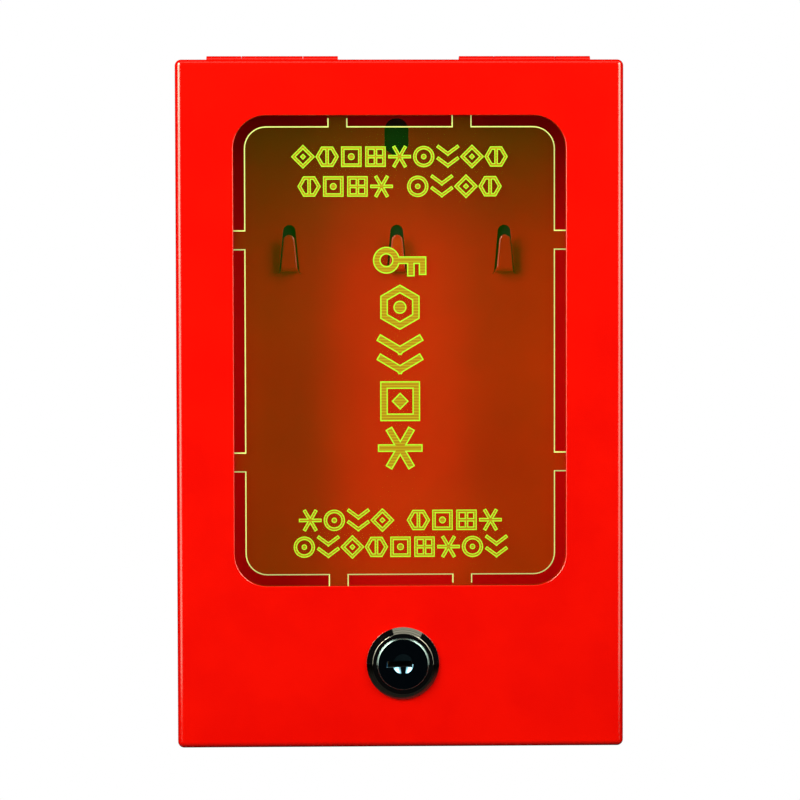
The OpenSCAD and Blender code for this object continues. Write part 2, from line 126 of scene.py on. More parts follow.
def pieceFrom(name, bm):
    mesh = bpy.data.meshes.new(name)
    bm.to_mesh(mesh)
    bm.free()
    piece = bpy.data.objects.new(name, mesh)
    bpy.context.scene.collection.objects.link(piece)
    return piece


def settle(piece):  # applies the modifiers
    graph = bpy.context.evaluated_depsgraph_get()
    mesh = bpy.data.meshes.new_from_object(piece.evaluated_get(graph),
                                           preserve_all_data_layers=True, depsgraph=graph)
    old = piece.data
    piece.modifiers.clear()
    piece.data = mesh
    bpy.data.meshes.remove(old)


def carve(piece, bm, how="DIFFERENCE"):
    cutter = pieceFrom("cutter", bm)
    cut = piece.modifiers.new("cut", "BOOLEAN")
    cut.operation = how
    cut.solver = "EXACT"
    cut.object = cutter
    settle(piece)
    mesh = cutter.data
    bpy.data.objects.remove(cutter)
    bpy.data.meshes.remove(mesh)


def thicken(piece, sheet, offset=-1):
    wall = piece.modifiers.new("sheet", "SOLIDIFY")
    wall.thickness = sheet
    wall.offset = offset
    wall.use_even_offset = True
    settle(piece)


def editMesh(piece, change):
    bm = bmesh.new()
    bm.from_mesh(piece.data)
    change(bm)
    bm.to_mesh(piece.data)
    bm.free()
    piece.data.update()


def breakEdges(piece, width, steps=2, angle=50, where=None):  # the soft edge of a cut sheet
    def change(bm):
        bmesh.ops.dissolve_limit(bm, angle_limit=math.radians(0.5), verts=bm.verts, edges=bm.edges)
        found = [e for e in bm.edges if e.is_manifold
                 and e.calc_face_angle(0) > math.radians(angle)
                 and (where is None or where((e.verts[0].co + e.verts[1].co) / 2))]
        roundEdges(bm, found, width, steps)
    editMesh(piece, change)


def paintInsideShade(piece, low, high):  # second finish, a deeper red that paints in the shade, on the faces inside a folded shell
    def change(bm):
        for face in bm.faces:
            spot = face.calc_center_median()
            depth = min(min(spot[n] - low[n], high[n] - spot[n]) for n in range(3))
            face.material_index = 1 if depth > 0.9 * sheet else 0
    editMesh(piece, change)


def finishPiece(piece, body, finishes, replaced=(), sharp=38):
    def change(bm):
        for face in bm.faces:
            face.smooth = True
        for edge in bm.edges:
            edge.smooth = not edge.is_manifold or edge.calc_face_angle(0) < math.radians(sharp)
    editMesh(piece, change)
    shade = piece.modifiers.new("shade", "WEIGHTED_NORMAL")
    shade.keep_sharp = True
    settle(piece)
    piece.data.transform(Matrix.Scale(1 / perMetre, 4))
    for finish in finishes:
        piece.data.materials.append(finish)
    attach(piece, body)
    if replaced:
        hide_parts(*replaced)


# Places that pieces and finishes share

bodyLow, bodyHigh = cadSpan("body_shell")
doorLow, doorHigh = cadSpan("door_shell")
panelLow, panelHigh = cadSpan("break_panel")
capLow, capHigh = cadSpan("plug_cap")
lockAt = Vector(((capLow.x + capHigh.x) / 2, doorLow.y, (capLow.z + capHigh.z) / 2))
lockTurn = Matrix.Translation(lockAt) @ Matrix.Rotation(math.radians(90), 4, "X")


# Finishes

def newFinish(name, **values):
    finish = bpy.data.materials.new(name)
    finish.use_nodes = True
    tree = finish.node_tree
    shader = tree.nodes["Principled BSDF"]
    for socket, value in values.items():
        shader.inputs[socket.replace("_", " ")].default_value = value
    return finish, tree, shader


def addNode(tree, kind):
    return tree.nodes.new("ShaderNode" + kind)


def feed(tree, socket, value):  # a number is set, an output is linked
    if isinstance(value, (int, float)):
        socket.default_value = value
    else:
        tree.links.new(value, socket)


def maths(tree, operation, *values):
    node = addNode(tree, "Math")
    node.operation = operation
    for socket, value in zip(node.inputs, values):
        feed(tree, socket, value)
    return node.outputs["Value"]


def grain(tree, scale, detail=2):  # noise on the piece itself; scale per metre
    place = addNode(tree, "TexCoord")
    noise = addNode(tree, "TexNoise")
    noise.inputs["Scale"].default_value = scale
    noise.inputs["Detail"].default_value = detail
    tree.links.new(place.outputs["Object"], noise.inputs["Vector"])
    return noise.outputs["Fac"]


def ramp(tree, value, stops):
    node = addNode(tree, "ValToRGB")
    while len(node.color_ramp.elements) < len(stops):
        node.color_ramp.elements.new(0.5)
    for element, (at, colour) in zip(node.color_ramp.elements, stops):
        element.position = at
        element.color = (*colour, 1)
    tree.links.new(value, node.inputs["Fac"])
    return node.outputs["Color"]


def tinted(tree, shader, value, stops):
    tint = ramp(tree, value, stops)
    tree.links.new(tint, shader.inputs["Base Color"])
    return tint


def spread(tree, value, low, high):
    node = addNode(tree, "MapRange")
    node.inputs["To Min"].default_value = low
    node.inputs["To Max"].default_value = high
    tree.links.new(value, node.inputs["Value"])
    return node.outputs["Result"]


def bumps(tree, shader, height, distance, coat=False):
    node = addNode(tree, "Bump")
    node.inputs["Distance"].default_value = distance
    tree.links.new(height, node.inputs["Height"])
    tree.links.new(node.outputs["Normal"], shader.inputs["Normal"])
    if coat:
        tree.links.new(node.outputs["Normal"], shader.inputs["Coat Normal"])


powderLook = {
    "name": "redPowderCoat",
    "rough": 0.15,
    "coat": 1.0,
    "gloss": 0.5,
    "colour": (0.90, 0.0036, 0.0002),
    "thin": (0.84, 0.0026, 0.0002),
    "peelSize": 900,  # orange peel, per metre
    "peelDepth": 0.000004,
}
insideShadeLook = {  # faces inside the box get less gloss and a deeper red, which is painted shade
    "name": "insideShadePowderCoat",
    "rough": 0.35,
    "coat": 0.05,
    "gloss": 0.2,
    "colour": (0.60, 0.0010, 0.0002),
    "thin": (0.55, 0.0006, 0.0002),
    "peelSize": 700,
    "peelDepth": 0.000003,
}

hookGlossAndShadeLook = {  # raised edges catch more powder, so the hooks shine; their deeper red, as inside the box, is painted shade
    "name": "hookGlossShadePowderCoat",
    "rough": 0.28,
    "coat": 0.6,
    "gloss": 0.5,
    "colour": (0.62, 0.0016, 0.0002),
    "thin": (0.57, 0.0012, 0.0002),
    "peelSize": 700,
    "peelDepth": 0.000003,
}


def powderCoat(look):
    finish, tree, shader = newFinish(look["name"], Roughness=look["rough"], Coat_Weight=look["coat"],
                                     Coat_Roughness=0.1, Coat_IOR=1.8,
                                     Specular_IOR_Level=look["gloss"])
    tinted(tree, shader, grain(tree, 55, 3), [(0.35, look["thin"]), (0.65, look["colour"])])
    peel = grain(tree, look["peelSize"], 1)
    bumps(tree, shader, peel, look["peelDepth"], coat=True)
    return finish


acrylicLook = {  # noise per metre and its detail, two colours, and the shader's own values
    "greenAcrylic": (30, 1, (0.0, 0.26, 0.0), (0.0, 0.31, 0.0),
                     {"Roughness": 0.08, "Alpha": 0.04, "IOR": 1.49, "Specular_IOR_Level": 0.3}),
    "glowingCutEdge": (260, 2, (0.36, 0.44, 0.07), (0.5, 0.52, 0.12),
                       {"Roughness": 0.4, "Emission_Strength": 0.62,
                        "Emission_Color": (0.62, 0.82, 0.30, 1)}),
    # the walls of the cut glow faintly, which is painted light
    "faintlyGlowingCutWall": (260, 2, (0.02, 0.20, 0.01), (0.05, 0.28, 0.01),
                  {"Roughness": 0.25, "Alpha": 0.3, "IOR": 1.49, "Emission_Strength": 0.12,
                   "Emission_Color": (0.3, 1.0, 0.08, 1)}),
    # engraved lines glow, which is painted light
    "glowingEngravedLine": (1500, 2, (0.14, 0.40, 0.01), (0.22, 0.5, 0.02),
                     {"Roughness": 0.55, "Emission_Strength": 0.5,
                      "Emission_Color": (0.55, 1.0, 0.04, 1), "Specular_IOR_Level": 0.1}),
}


def acrylicFinish(name):
    scale, detail, dark, light, sockets = acrylicLook[name]
    finish, tree, shader = newFinish(name, **sockets)
    tinted(tree, shader, grain(tree, scale, detail), [(0.3, dark), (0.7, light)])
    return finish


hatchLook = {
    "pitch": 0.84,  # millimetres between two laser lines
    "line": (0.40, 0.40, 0.010),
    "floor": (0.30, 0.18, 0.005),
}


def glowingEngravedHatch(look):
    # the hatch glows in the colours of its lines, which is painted light
    finish, tree, shader = newFinish("glowingEngravedHatch", Roughness=0.6, Emission_Strength=0.35,
                                     Specular_IOR_Level=0.1)
    place = addNode(tree, "TexCoord")
    split = addNode(tree, "SeparateXYZ")
    tree.links.new(place.outputs["Object"], split.inputs["Vector"])
    rows = maths(tree, "MULTIPLY", split.outputs["Z"], perMetre / look["pitch"])
    stripes = tinted(tree, shader, maths(tree, "FRACT", rows),
                     [(0.0, look["floor"]), (0.32, look["floor"]),
                      (0.5, look["line"]), (0.68, look["floor"])])
    tree.links.new(stripes, shader.inputs["Emission Color"])
    return finish


def turnedChrome(name, light, dark, roughness):  # tool marks run in rings round the lock
    finish, tree, shader = newFinish(name, Metallic=1.0)
    place = addNode(tree, "TexCoord")
    centre = addNode(tree, "Mapping")
    centre.inputs["Location"].default_value = -lockAt / perMetre
    flat = addNode(tree, "VectorMath")
    flat.operation = "MULTIPLY"
    flat.inputs[1].default_value = (1, 0, 1)
    radius = addNode(tree, "VectorMath")
    radius.operation = "LENGTH"
    rings = addNode(tree, "TexNoise")
    rings.noise_dimensions = "1D"
    rings.inputs["Scale"].default_value = 3600
    rings.inputs["Detail"].default_value = 2
    tree.links.new(place.outputs["Object"], centre.inputs["Vector"])
    tree.links.new(centre.outputs["Vector"], flat.inputs[0])
    tree.links.new(flat.outputs["Vector"], radius.inputs[0])
    tree.links.new(radius.outputs["Value"], rings.inputs["W"])
    tinted(tree, shader, rings.outputs["Fac"], [(0.35, dark), (0.65, light)])
    wear = spread(tree, grain(tree, 900, 2), roughness * 0.8, roughness * 1.4)
    tree.links.new(wear, shader.inputs["Roughness"])
    bumps(tree, shader, rings.outputs["Fac"], 0.0000004)
    return finish


def platedMetal(name, light, dark, roughness, marks=400):
    finish, tree, shader = newFinish(name, Metallic=1.0)
    tinted(tree, shader, grain(tree, marks, 3), [(0.3, dark), (0.7, light)])
    wear = spread(tree, grain(tree, marks * 2.5, 2), roughness * 0.8, roughness * 1.25)
    tree.links.new(wear, shader.inputs["Roughness"])
    bumps(tree, shader, grain(tree, marks * 4, 1), 0.0000006)
    return finish


redPowder = powderCoat(powderLook)
insideShadePowder = powderCoat(insideShadeLook)
hookGlossShadePowder = powderCoat(hookGlossAndShadeLook)
acrylic = acrylicFinish("greenAcrylic")
edgeGlow = acrylicFinish("glowingCutEdge")
cutWallGlow = acrylicFinish("faintlyGlowingCutWall")
lineGlow = acrylicFinish("glowingEngravedLine")
hatchGlow = glowingEngravedHatch(hatchLook)
blackChrome = turnedChrome("turnedChrome", (0.80, 0.80, 0.78), (0.50, 0.50, 0.49), 0.05)
blueChrome = platedMetal("blueBlackChrome", (0.20, 0.44, 0.66), (0.15, 0.38, 0.60), 0.06)
wornChrome = platedMetal("wornChrome", (0.52, 0.76, 0.84), (0.40, 0.62, 0.70), 0.19)
# near-black pins paint the shade in the gaps between the hinge knuckles
gapShadePinSteel = platedMetal("gapShadePinSteel", (0.035, 0.035, 0.035), (0.02, 0.02, 0.02), 0.5)
zincCast = platedMetal("dieCastZinc", (0.13, 0.13, 0.13), (0.09, 0.09, 0.09), 0.45, 900)
zincPlate = platedMetal("zincPlate", (0.30, 0.31, 0.31), (0.21, 0.215, 0.22), 0.38, 260)
brassStrip = platedMetal("brassStrip", (0.72, 0.50, 0.20), (0.60, 0.40, 0.14), 0.30, 500)
springWire = platedMetal("springWire", (0.40, 0.40, 0.40), (0.30, 0.30, 0.31), 0.3, 1200)
print("finishes mixed")


# Box: body with its lips, slots and hook holes

sheetLook = {
    "sheet": 1.0,
    "bend": 1.8,  # outside radius of the folds
    "bendSteps": 8,
    "softEdge": 0.22,  # edge rounding that the powder coat leaves
    "lip": 8.0,
    "mitre": 0.35,  # open seam at the lip corners
}

hookLook = {
    "count": 3,
    "pitch": 32.5,
    "drop": 61.9,  # from the top of the box to the hook roots
    "long": 14.5,
    "root": 5.6,
    "tip": 3.4,
    "flare": 0.8,
    "fold": 1.5,  # length of tongue that each of its two folds takes up
    "out": 88,  # angle from the wall after the first fold
    "arm": 1.8,  # straight length between the folds
    "up": 5,  # angle from the wall after the second fold
    "cut": 0.2,
    "softEdge": 0.4,
}

wallSlotLook = {"wide": 7.3, "high": 11.2, "end": 20.6}

hookZ = bodyHigh.z - hookLook["drop"]
sheet = sheetLook["sheet"]


def tongueHalf(look, along, grow=0):  # half width of a tongue at a distance from its root
    tipR = look["tip"] / 2
    straight = look["long"] - tipR
    if along <= look["flare"]:
        rise = look["flare"] - along
        drift = look["flare"] - math.sqrt(max(look["flare"] ** 2 - rise ** 2, 0))
        return look["root"] / 2 + grow + drift
    if along < straight:
        return look["root"] / 2 + grow + (look["tip"] - look["root"]) / 2 * (along - look["flare"]) / (
            straight - look["flare"])
    round2 = (tipR + grow) ** 2 - (along - straight) ** 2
    return math.sqrt(max(round2, 0))


def tongueStops(look, grow=0):  # distances along a tongue, closer at its flare and tip
    tipR = look["tip"] / 2
    stops = [look["flare"] * n / 5 for n in range(6)]
    straight = look["long"] - tipR
    stops += [look["flare"] + (straight - look["flare"]) * n / 40 for n in range(1, 41)]
    stops += [straight + (tipR + grow) * math.sin(math.radians(90 * n / 8)) for n in range(1, 9)]
    return stops


def tonguePath(look, along):  # height and reach of a tongue at a distance from its root
    second = look["fold"] + look["arm"]
    height = reach = 0
    count = 60
    for n in range(count):
        s = along * (n + 0.5) / count
        turn = look["out"] * min(s / look["fold"], 1)
        turn += (look["up"] - look["out"]) * min(max((s - second) / look["fold"], 0), 1)
        height += math.cos(math.radians(turn)) * along / count
        reach += math.sin(math.radians(turn)) * along / count
    return height, reach


def hookHole(look, x):
    stops = tongueStops(look, look["cut"])
    bm = bmesh.new()
    right = [bm.verts.new((x + tongueHalf(look, s, look["cut"]), 0, hookZ + s)) for s in stops[:-1]]
    tip = bm.verts.new((x, 0, hookZ + stops[-1]))
    left = [bm.verts.new((2 * x - v.co.x, 0, v.co.z)) for v in reversed(right)]
    face = bm.faces.new(right + [tip] + left)
    out = bmesh.ops.extrude_face_region(bm, geom=[face])
    moved = [v for v in out["geom"] if isinstance(v, bmesh.types.BMVert)]
    bmesh.ops.translate(bm, vec=(0, -3 * sheet, 0), verts=moved)
    shift(bm, (0, sheet, 0))
    faceOutward(bm)
    return bm


def wallSlot(look, side):
    middle = side * ((bodyHigh.z - bodyLow.z) / 2 - look["end"])
    half = look["wide"] / 2
    return slab((-half, -2 * sheet, middle - look["high"] / 2),
                (half, sheet, middle + look["high"] / 2), half - tiny, 12)


def hingeNotches(front):
    room = 0.35  # round a barrel in its notch
    shapes = []
    for side in ("left", "right"):
        low, high = cadSpan("hinge_pin_" + side)
        axisY = (low.y + high.y) / 2
        reach = cadSpan("hinge_body_leaf_" + side)[1].z - (low.z + high.z) / 2 + room
        ends = (axisY - reach, axisY + 1) if front else (axisY - 1, axisY + reach)
        shapes.append(block((low.x - room, ends[0], high.z - reach - 2),
                            (high.x + room, ends[1], high.z + reach + 2)))
    return shapes


def makeBodyShell(look):
    bm = block(bodyLow, bodyHigh)
    roundEdges(bm, list(bm.edges), look["bend"], look["bendSteps"])
    piece = pieceFrom("bodyShell", bm)
    thicken(piece, sheet)
    lip = look["lip"]
    front = slab((bodyLow.x + lip, bodyLow.y - sheet, bodyLow.z + lip),
                 (bodyHigh.x - lip, bodyLow.y + 2 * sheet, bodyHigh.z - lip), look["bend"], 4)
    carve(piece, front)
    seams = []
    for sx in (-1, 1):
        for sz in (-1, 1):
            seam = block((-look["mitre"] / 2, bodyLow.y - sheet, -lip),
                         (look["mitre"] / 2, bodyLow.y + 1.5 * sheet, lip * 0.95))
            turn = Matrix.Rotation(math.radians(45 * sx * sz), 4, "Y")
            corner = Vector((sx * (bodyHigh.x - lip * 0.75), 0, sz * (bodyHigh.z - lip * 0.75)))
            bmesh.ops.transform(seam, matrix=Matrix.Translation(corner) @ turn, verts=seam.verts)
            seams.append(seam)
    spots = [(n - (hookLook["count"] - 1) / 2) * hookLook["pitch"] for n in range(hookLook["count"])]
    carve(piece, together([hookHole(hookLook, x) for x in spots]))
    carve(piece, together([wallSlot(wallSlotLook, side) for side in (-1, 1)]))
    carve(piece, together(hingeNotches(False)))
    carve(piece, together(seams))
    inside = bodyHigh.z - 2.5 * look["bend"]
    breakEdges(piece, look["softEdge"], 2, 50, lambda p: abs(p.z) < inside and p.y > -4 * sheet)
    for n, x in enumerate(spots):
        makeKeyHook(hookLook, ("Left", "Middle", "Right")[n], x)
    paintInsideShade(piece, bodyLow, bodyHigh)
    finishPiece(piece, "root", [redPowder, insideShadePowder], ["body_shell"])


def makeKeyHook(look, name, x):
    stops = tongueStops(look)
    bm = bmesh.new()
    columns = 6
    bmesh.ops.create_grid(bm, x_segments=columns, y_segments=len(stops) - 1, size=0.5)
    path = [tonguePath(look, s) for s in stops]
    for v in bm.verts:
        row = round((v.co.y + 0.5) * (len(stops) - 1))
        across = 2 * v.co.x * tongueHalf(look, stops[row])
        height, reach = path[row]
        v.co = Vector((x + across, -reach - sheet / 2, hookZ + height))
    bmesh.ops.remove_doubles(bm, verts=bm.verts, dist=0.01)
    faceOutward(bm)
    piece = pieceFrom("keyHook" + name, bm)
    thicken(piece, sheet, 0)
    breakEdges(piece, look["softEdge"], 3, 60, lambda p: p.z > hookZ + 0.3)
    finishPiece(piece, "root", [hookGlossShadePowder])


# Door: tray with the window, the lock's hole and the hinge notches

lockLook = {
    "hole": 18.6,
    "flats": 16.2,
    "holePlay": 0.2,
}

windowLook = {
    "panelSide": 7.0,  # how far the acrylic reaches behind the frame
    "panelEnd": 6.0,
    "drop": 0.2,  # the window's middle below the acrylic's
    "corner": 9.5,
    "softEdge": 0.3,
}

windowRim = Vector((windowLook["panelSide"], 0, windowLook["panelEnd"]))
windowDrop = Vector((0, 0, windowLook["drop"]))
windowLow = panelLow + windowRim - windowDrop
windowHigh = panelHigh - windowRim - windowDrop


def doubleD(diameter, flats, bottom, top):
    bm = bmesh.new()
    bmesh.ops.create_cone(bm, cap_ends=True, segments=96, radius1=diameter / 2,
                          radius2=diameter / 2, depth=top - bottom)
    shift(bm, (0, 0, (top + bottom) / 2))
    for side in (-1, 1):
        cut = bmesh.ops.bisect_plane(bm, geom=bm.verts[:] + bm.edges[:] + bm.faces[:],
                                     plane_co=(0, side * flats / 2, 0), plane_no=(0, side, 0),
                                     clear_outer=True)
        rim = [e for e in cut["geom_cut"] if isinstance(e, bmesh.types.BMEdge)]
        bmesh.ops.edgenet_fill(bm, edges=rim)
    faceOutward(bm)
    return bm


def makeDoorShell(look):
    bm = block(doorLow, doorHigh)
    back = [f for f in bm.faces if f.normal.y > 0.9]
    bmesh.ops.delete(bm, geom=back, context="FACES")
    roundEdges(bm, [e for e in bm.edges if not e.is_boundary], look["bend"], look["bendSteps"])
    piece = pieceFrom("doorShell", bm)
    thicken(piece, sheet)
    window = slab((windowLow.x, doorLow.y - sheet, windowLow.z),
                  (windowHigh.x, doorLow.y + 2 * sheet, windowHigh.z), windowLook["corner"], 12)
    carve(piece, window)
    play = 2 * lockLook["holePlay"]
    hole = doubleD(lockLook["hole"] + play, lockLook["flats"] + play, -2 * sheet, sheet)
    hole.transform(lockTurn)
    carve(piece, hole)
    breakEdges(piece, windowLook["softEdge"], 3, 50,
               lambda p: p.y < doorLow.y + 1.2 * sheet or p.y > doorHigh.y - 0.1)
    carve(piece, together(hingeNotches(True)))
    paintInsideShade(piece, doorLow, doorHigh + Vector((0, 2 * sheet, 0)))
    finishPiece(piece, "door", [redPowder, insideShadePowder], ["door_shell"])


makeBodyShell(sheetLook)
makeDoorShell(sheetLook)
print("box and door folded")


# Break panel: acrylic with relief slots, and generic marks engraved where the original has words

panelLook = {
    "slot": 3.1,
    "bridge": 5.8,
    "bridgeX": 18.0,
    "bridgeZ": 32.25,
    "frontEdge": 0.34,  # the glowing edge, as it shows through the front
    "corner": 2.0,
}


def outsideWindow(spot):  # distance from the window's outline, less than zero within it
    centre = (windowLow + windowHigh) / 2
    corner = windowLook["corner"]
    x = abs(spot.x - centre.x) - (windowHigh.x - windowLow.x) / 2 + corner
    z = abs(spot.z - centre.z) - (windowHigh.z - windowLow.z) / 2 + corner
    return math.hypot(max(x, 0), max(z, 0)) + min(max(x, z), 0) - corner


def makeBreakPanel(look):
    piece = pieceFrom("breakPanel", slab(panelLow, panelHigh, look["corner"], 4))
    slot = Vector((look["slot"], 0, look["slot"]))
    past = Vector((0, 1, 0))
    ring = pieceFrom("slots", slab(windowLow - past, windowHigh + past, windowLook["corner"], 12))
    carve(ring, slab(windowLow + slot - 2 * past, windowHigh - slot + 2 * past,
                     windowLook["corner"] - look["slot"], 10))
    middle = (windowLow + windowHigh) / 2
    half = look["bridge"] / 2
    front, back = panelLow.y - 3, panelHigh.y + 3
    for side in (-1, 1):
        x = side * look["bridgeX"]
        z = middle.z + side * look["bridgeZ"]
        carve(ring, block((x - half, front, panelLow.z), (x + half, back, panelHigh.z)))
        carve(ring, block((panelLow.x, front, z - half), (panelHigh.x, back, z + half)))
    carve(piece, takeShape(ring))
    breakEdges(piece, look["frontEdge"], 1, 50, lambda p: p.y < panelLow.y + 0.1)

    def paint(mesh):
        for face in mesh.faces:
            seen = outsideWindow(face.calc_center_median()) < -sheet
            face.material_index = 2 if seen and abs(face.normal.y) < 0.95 else 0
            if seen and -0.95 < face.normal.y < -0.2:
                face.material_index = 1
    editMesh(piece, paint)
    finishPiece(piece, "door", [acrylic, edgeGlow, cutWallGlow],
                ["break_panel"], 30)


makeBreakPanel(panelLook)

markLook = {
    "thick": 0.15,
    "proud": 0.03,
    "sunk": 0.12,  # depth of the hatched floor, as a share of the thickness
    "largeBar": 2.2,
    "largeStroke": 0.36,
    "smallBar": 1.0,
    "smallStroke": 0.27,
    "largePitch": 13.65,
    "largeTop": 41.9,
    "smallPitch": 7.0,
}


def barShape(size, start, end, front, back):
    start = Vector((start[0], 0, start[1]))
    end = Vector((end[0], 0, end[1]))
    bm = block((-size / 2, front, -size / 2), (size / 2, back, (end - start).length + size / 2))
    turn = Matrix.Rotation(math.atan2(end.x - start.x, end.z - start.z), 4, "Y")
    bmesh.ops.transform(bm, matrix=Matrix.Translation(start) @ turn, verts=bm.verts)
    return bm


def plateShape(centre, radius, sides, turn, front, back):
    bm = bmesh.new()
    bmesh.ops.create_cone(bm, cap_ends=True, segments=sides, radius1=radius, radius2=radius,
                          depth=back - front)
    spin = Matrix.Rotation(math.radians(90), 4, "X") @ Matrix.Rotation(math.radians(turn), 4, "Z")
    bm.transform(Matrix.Translation((centre[0], (front + back) / 2, centre[1])) @ spin)
    return bm


def unite(piece, bm):
    if piece is None:
        return pieceFrom("mark", bm)
    carve(piece, bm, "UNION")
    return piece


def markShape(size, stroke, front, back, bars, rings, dots):
    piece = None
    for centre, radius, sides, turn in rings:
        lean = math.cos(math.pi / sides)
        outer = radius - stroke / lean
        inner = radius - (size - stroke) / lean
        ring = pieceFrom("ring", plateShape(centre, outer, sides, turn, front, back))
        carve(ring, plateShape(centre, inner, sides, turn, front - 1, back + 1))
        piece = unite(piece, takeShape(ring))
    for centre, radius, sides, turn in dots:
        lean = math.cos(math.pi / sides)
        piece = unite(piece, plateShape(centre, radius - stroke / lean, sides, turn, front, back))
    for start, end in bars:
        piece = unite(piece, barShape(size - 2 * stroke, start, end, front, back))
    return piece


def makeMark(look, size, stroke, bars=(), rings=(), dots=()):
    piece = markShape(size, 0, 0, 1, bars, rings, dots)
    pocket = markShape(size, stroke, -1, look["sunk"], bars, rings, dots)
    carve(piece, takeShape(pocket))

    def paint(mesh):
        bmesh.ops.remove_doubles(mesh, verts=mesh.verts, dist=0.001)
        for face in mesh.faces:
            level = face.calc_center_median().y
            face.material_index = 1 if face.normal.y < -0.9 and level > look["sunk"] / 2 else 0
    editMesh(piece, paint)
    mesh = piece.data
    bpy.data.objects.remove(piece)
    return mesh


def stamp(look, bm, mesh, x, z):
    before = len(bm.verts)
    bm.from_mesh(mesh)
    bm.verts.ensure_lookup_table()
    fresh = bm.verts[before:]
    bmesh.ops.scale(bm, vec=(1, look["thick"], 1), verts=fresh)
    bmesh.ops.translate(bm, vec=(x, panelLow.y - look["proud"], z), verts=fresh)


# Bars run between two points; rings and dots have a centre, a radius, sides and a turn
largeMarks = [
    {"rings": [((-3.9, 0), 3.9, 40, 0)],
     "bars": [((-0.8, 0), (6.6, 0)), ((6.6, 0), (6.6, -3.2)), ((3.2, 0), (3.2, -3.6))]},
    {"rings": [((0, 0), 6.6, 6, 0)], "dots": [((0, 0), 1.9, 24, 0)]},
    {"bars": [((-5.4, 4.4), (0, 1.2)), ((0, 1.2), (5.4, 4.4)),
              ((-5.4, -1.2), (0, -4.4)), ((0, -4.4), (5.4, -1.2))]},
    {"rings": [((0, 0), 8.2, 4, 45)], "dots": [((0, 0), 2.5, 4, 0)]},
    {"bars": [((-5.4, 0), (5.4, 0)), ((-2.8, -4.8), (2.8, 4.8)), ((-2.8, 4.8), (2.8, -4.8))]},
]
smallMarks = [
    {"rings": [((0, 0), 3.5, 4, 0)], "dots": [((0, 0), 0.9, 4, 0)]},
    {"rings": [((0, 0), 3.1, 28, 0)], "dots": [((0, 0), 0.8, 16, 0)]},
    {"rings": [((0, 0), 4.2, 4, 45)], "bars": [((-2.4, 0), (2.4, 0)), ((0, -2.4), (0, 2.4))]},
    {"rings": [((0, 0), 3.4, 6, 30)], "bars": [((0, -2.2), (0, 2.2))]},
    {"bars": [((-2.7, 2.8), (0, 0.8)), ((0, 0.8), (2.7, 2.8)),
              ((-2.7, -0.6), (0, -2.6)), ((0, -2.6), (2.7, -0.6))]},
    {"bars": [((-2.8, 0), (2.8, 0)), ((-1.5, -2.6), (1.5, 2.6)), ((-1.5, 2.6), (1.5, -2.6))]},
    {"rings": [((0, 0), 4.2, 4, 45)], "dots": [((0, 0), 1.0, 16, 0)]},
]


def makeMarks(look):
    large, small = [[makeMark(look, look[kind + "Bar"], look[kind + "Stroke"], **mark)
                     for mark in marks]
                    for kind, marks in (("large", largeMarks), ("small", smallMarks))]
    column = bmesh.new()
    for n, mesh in enumerate(large):
        stamp(look, column, mesh, 0, look["largeTop"] - n * look["largePitch"])
    finishMarks("engravedColumn", column)
    pitch = look["smallPitch"]
    nine = [(n - 4) * pitch for n in range(9)]
    eight = [side * (n + 0.75) * pitch for side in (-1, 1) for n in range(4)]
    rows = {"engravedTop": [(nine, 71.9, 0), (eight, 63.3, 3)],
            "engravedBottom": [(eight, -33.7, 5), (nine, -41.5, 1)]}
    for name, lines in rows.items():
        bm = bmesh.new()
        for spots, z, first in lines:
            for n, x in enumerate(sorted(spots)):
                stamp(look, bm, small[(first + 3 * n) % len(small)], x, z)
        finishMarks(name, bm)


def finishMarks(name, bm):
    piece = pieceFrom(name, bm)
    finishPiece(piece, "door", [lineGlow, hatchGlow], (), 30)


makeMarks(markLook)
print("acrylic cut and engraved")


# Hinges: rolled leaves on a turned pin

hingeLook = {
    "leaf": 0.76,
    "barrel": 1.8,
    "roll": 322,  # angle of the curl round the pin
    "rollSteps": 28,
    "endKnuckle": 10.2,
    "gap": 0.09,
    "root": 2.15,  # where the plain plate starts, from the pin
    "corner": 1.5,
    "softEdge": 0.14,
    "crown": 0.35,  # rounding of a pin's ends
}


def makeHingeLeaf(look, side, onDoor):
    node = "hinge_" + ("door" if onDoor else "body") + "_leaf_" + side
    pinLow, pinHigh = cadSpan("hinge_pin_" + side)
    leafLow, leafHigh = cadSpan(node)
    axis = (pinLow + pinHigh) / 2
    half = (pinHigh.x - pinLow.x) / 2
    reach = axis.y - leafLow.y if onDoor else leafHigh.y - axis.y
    radius = look["barrel"] - look["leaf"] / 2
    inner = half - look["endKnuckle"]
    edges = [-half, -inner + look["gap"], inner - look["gap"], half] if onDoor else [
        -half, -inner, inner, half]
    path = [(reach, -radius), (look["root"], -radius)]
    path += arc((0, 0), radius, -90, -90 - look["roll"], look["rollSteps"])
    bm = bmesh.new()
    grid = [[bm.verts.new((x, along, up)) for along, up in path] for x in edges]
    for n, (near, far) in enumerate(zip(grid, grid[1:])):
        rolled = (n == 1) == onDoor
        for m in range(len(path) - 1 if rolled else 1):
            bm.faces.new((near[m], far[m], far[m + 1], near[m + 1]))
    corners = [grid[0][0], grid[-1][0]]
    roundEdges(bm, corners, look["corner"], 6, "VERTICES")
    loose = [v for v in bm.verts if not v.link_faces]
    bmesh.ops.delete(bm, geom=loose, context="VERTS")
    if onDoor:
        bmesh.ops.scale(bm, vec=(1, -1, 1), verts=bm.verts)
    faceOutward(bm)
    shift(bm, axis)
    piece = pieceFrom(("doorLeaf" if onDoor else "bodyLeaf") + side.capitalize(), bm)
    thicken(piece, look["leaf"], 0)
    breakEdges(piece, look["softEdge"], 2, 50)
    finishPiece(piece, "door" if onDoor else "root", [redPowder], [node])


